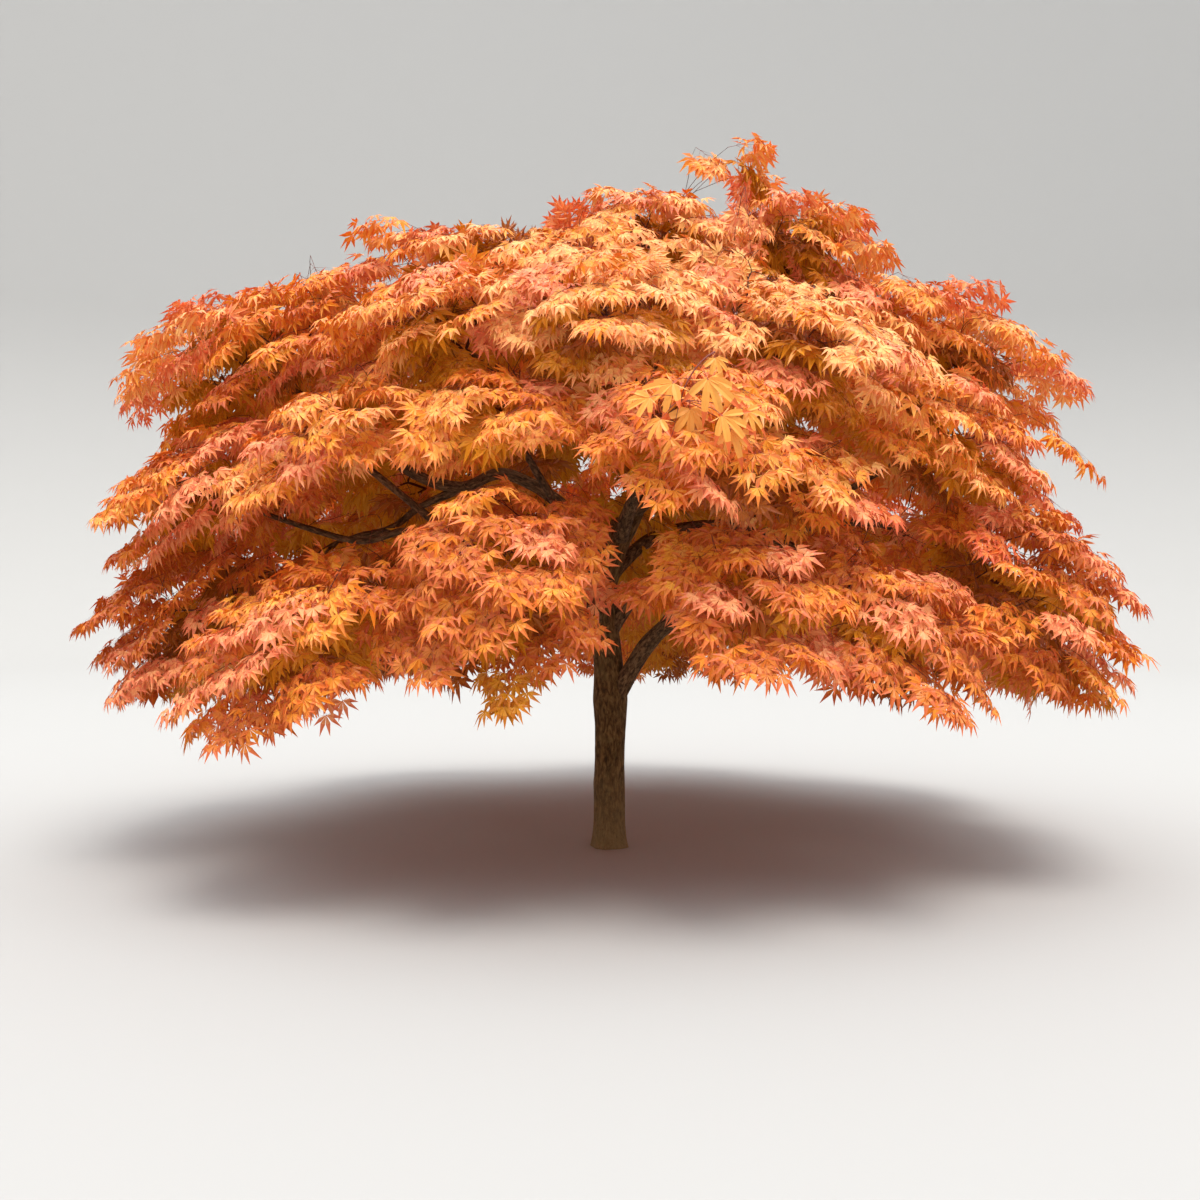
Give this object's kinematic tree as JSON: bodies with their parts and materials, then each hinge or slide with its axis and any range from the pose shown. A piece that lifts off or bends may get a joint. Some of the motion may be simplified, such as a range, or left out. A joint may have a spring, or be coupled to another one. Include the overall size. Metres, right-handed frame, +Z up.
{
  "type": "ornamental maple tree",
  "caption": "Small garden maple with a broad, layered umbrella crown of orange autumn leaves on a short single trunk that forks low.",
  "frame": {"origin": "centre of the flat cut under the trunk, at ground level", "axes": "+Z up, +X to the right of the front view, -Y to the front"},
  "size_m": [4.7154, 4.324, 3.3039],
  "materials": {
    "trunk_bark": "rough bark, grey-brown",
    "bough_bark": "smoother bark, dark brown",
    "skirt_foliage": "autumn leaves, coral orange",
    "side_foliage": "autumn leaves, orange",
    "shoulder_foliage": "autumn leaves, orange",
    "top_foliage": "autumn leaves, yellow orange"
  },
  "bodies": {
    "root": {"bough_back": "bough_bark", "bough_back_left": "bough_bark", "bough_back_left_upper": "bough_bark", "bough_back_right": "bough_bark", "bough_back_right_upper": "bough_bark", "bough_front": "bough_bark", "bough_front_left": "bough_bark", "bough_front_left_upper": "bough_bark", "bough_front_right": "bough_bark", "bough_left_drooping": "bough_bark", "bough_left_front": "bough_bark", "bough_left_front_upper": "bough_bark", "bough_left_high": "bough_bark", "bough_left_low": "bough_bark", "bough_right_front": "bough_bark", "bough_right_high": "bough_bark", "bough_right_low": "bough_bark", "bough_right_upper": "bough_bark", "bough_shoulder_back_left": "bough_bark", "bough_shoulder_back_right": "bough_bark", "bough_shoulder_front": "bough_bark", "bough_shoulder_front_left": "bough_bark", "bough_shoulder_front_right": "bough_bark", "bough_shoulder_right": "bough_bark", "bough_top_back": "bough_bark", "bough_top_left": "bough_bark", "bough_top_right": "bough_bark", "leader": "bough_bark", "shoulder_back_left": "shoulder_foliage", "shoulder_back_right": "shoulder_foliage", "shoulder_front": "shoulder_foliage", "shoulder_front_left": "shoulder_foliage", "shoulder_front_right": "shoulder_foliage", "shoulder_left": "shoulder_foliage", "shoulder_right": "shoulder_foliage", "side_back_left": "side_foliage", "side_back_right": "side_foliage", "side_front": "side_foliage", "side_front_left": "side_foliage", "side_left": "side_foliage", "side_left_front": "side_foliage", "side_right": "side_foliage", "side_right_front": "side_foliage", "skirt_back": "skirt_foliage", "skirt_back_left": "skirt_foliage", "skirt_back_right": "skirt_foliage", "skirt_front_left": "skirt_foliage", "skirt_front_right": "skirt_foliage", "skirt_left": "skirt_foliage", "skirt_left_front": "skirt_foliage", "skirt_right": "skirt_foliage", "skirt_right_front": "skirt_foliage", "top_back": "top_foliage", "top_centre": "top_foliage", "top_left": "top_foliage", "top_right": "top_foliage", "top_shoot": "top_foliage", "trunk": "trunk_bark"}
  },
  "joints": []
}
